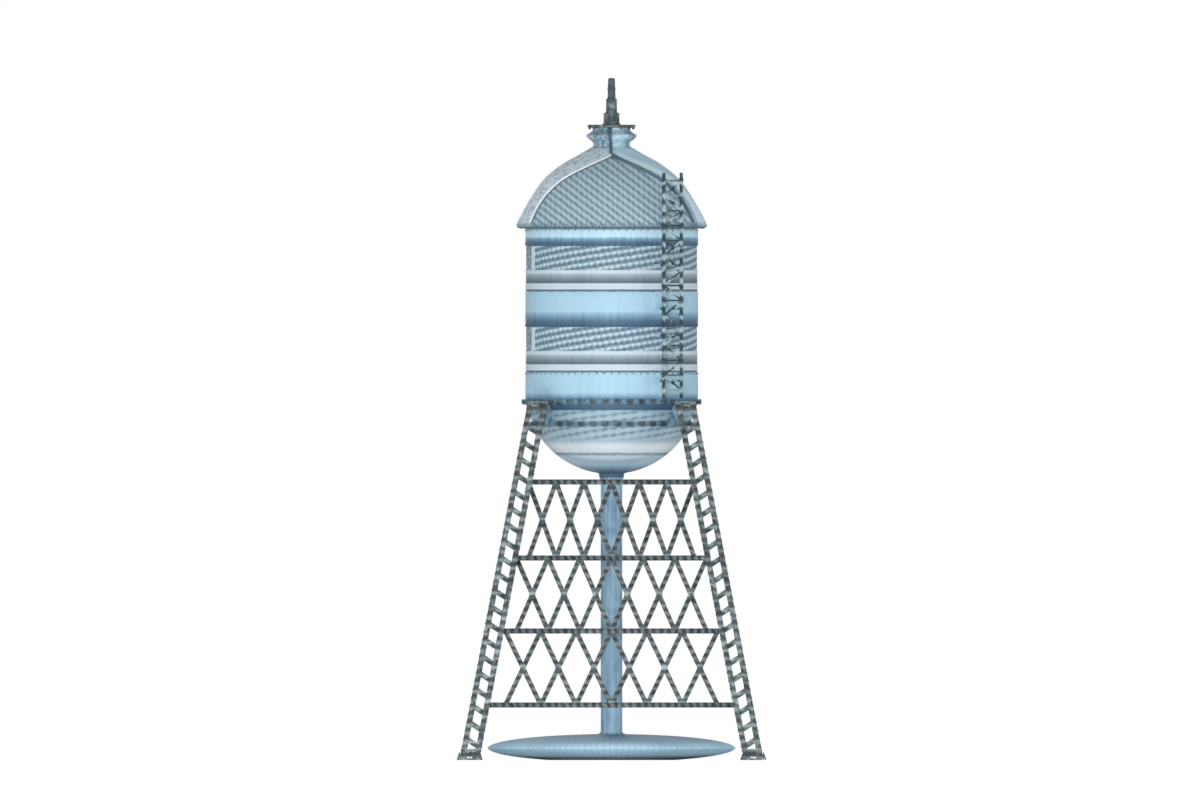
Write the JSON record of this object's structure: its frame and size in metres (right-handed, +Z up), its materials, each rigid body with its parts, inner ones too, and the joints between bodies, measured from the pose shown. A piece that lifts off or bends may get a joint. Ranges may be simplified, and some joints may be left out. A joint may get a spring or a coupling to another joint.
{
  "type": "water tower",
  "caption": "Elevated round water tank with domed roof and bowl bottom on laced steel legs with lattice sides, a riser pipe on a dished base and a ladder.",
  "frame": {"origin": "on the ground at the tower's centre line", "axes": "+Z up along the tank's axis; the front faces -Y and the ladder stands right of the front"},
  "size_m": [10.129, 10.129, 22.336],
  "materials": {
    "tower_steel": "dark grey-green paint on riveted steel",
    "ladder_steel": "grey paint on flat steel bars",
    "girder_steel": "dark grey-green paint on rolled angle",
    "belt_paint": "pale blue gloss paint, deeper along the lower edge",
    "tank_paint": "grey-blue paint over riveted plate",
    "bowl_paint": "grey-blue paint over riveted plate",
    "roof_paint": "grey-blue paint on seamed sheet",
    "finial_iron": "dark painted casting",
    "neck_paint": "grey-blue satin paint",
    "base_paint": "pale blue satin paint",
    "riser_paint": "pale blue satin paint"
  },
  "bodies": {
    "root": {"base_plate_back_left": "tower_steel", "base_plate_back_right": "tower_steel", "base_plate_front_left": "tower_steel", "base_plate_front_right": "tower_steel", "belt_lower": "belt_paint", "belt_middle": "belt_paint", "belt_upper": "belt_paint", "eaves_ring": "roof_paint", "finial_lower": "finial_iron", "finial_middle": "finial_iron", "finial_top": "finial_iron", "girder_ring_lower": "girder_steel", "girder_ring_upper": "girder_steel", "ladder": "ladder_steel", "ladder_bracket_1": "ladder_steel", "ladder_bracket_2": "ladder_steel", "ladder_bracket_3": "ladder_steel", "ladder_bracket_4": "ladder_steel", "lattice_back": "tower_steel", "lattice_front": "tower_steel", "lattice_left": "tower_steel", "lattice_right": "tower_steel", "leg_back_left": "tower_steel", "leg_back_right": "tower_steel", "leg_front_left": "tower_steel", "leg_front_right": "tower_steel", "leg_head_back_left": "tower_steel", "leg_head_back_right": "tower_steel", "leg_head_front_left": "tower_steel", "leg_head_front_right": "tower_steel", "leg_web_back_left": "tower_steel", "leg_web_back_right": "tower_steel", "leg_web_front_left": "tower_steel", "leg_web_front_right": "tower_steel", "riser_base_flange": "base_paint", "riser_base_lower": "base_paint", "riser_base_upper": "base_paint", "riser_lower": "riser_paint", "riser_middle": "riser_paint", "riser_upper": "riser_paint", "roof_dome": "roof_paint", "tank_bowl": "bowl_paint", "tank_course_lower": "tank_paint", "tank_course_middle": "tank_paint", "tank_course_upper": "tank_paint", "vent_cap_plate": "finial_iron", "vent_neck": "neck_paint"}
  },
  "joints": []
}
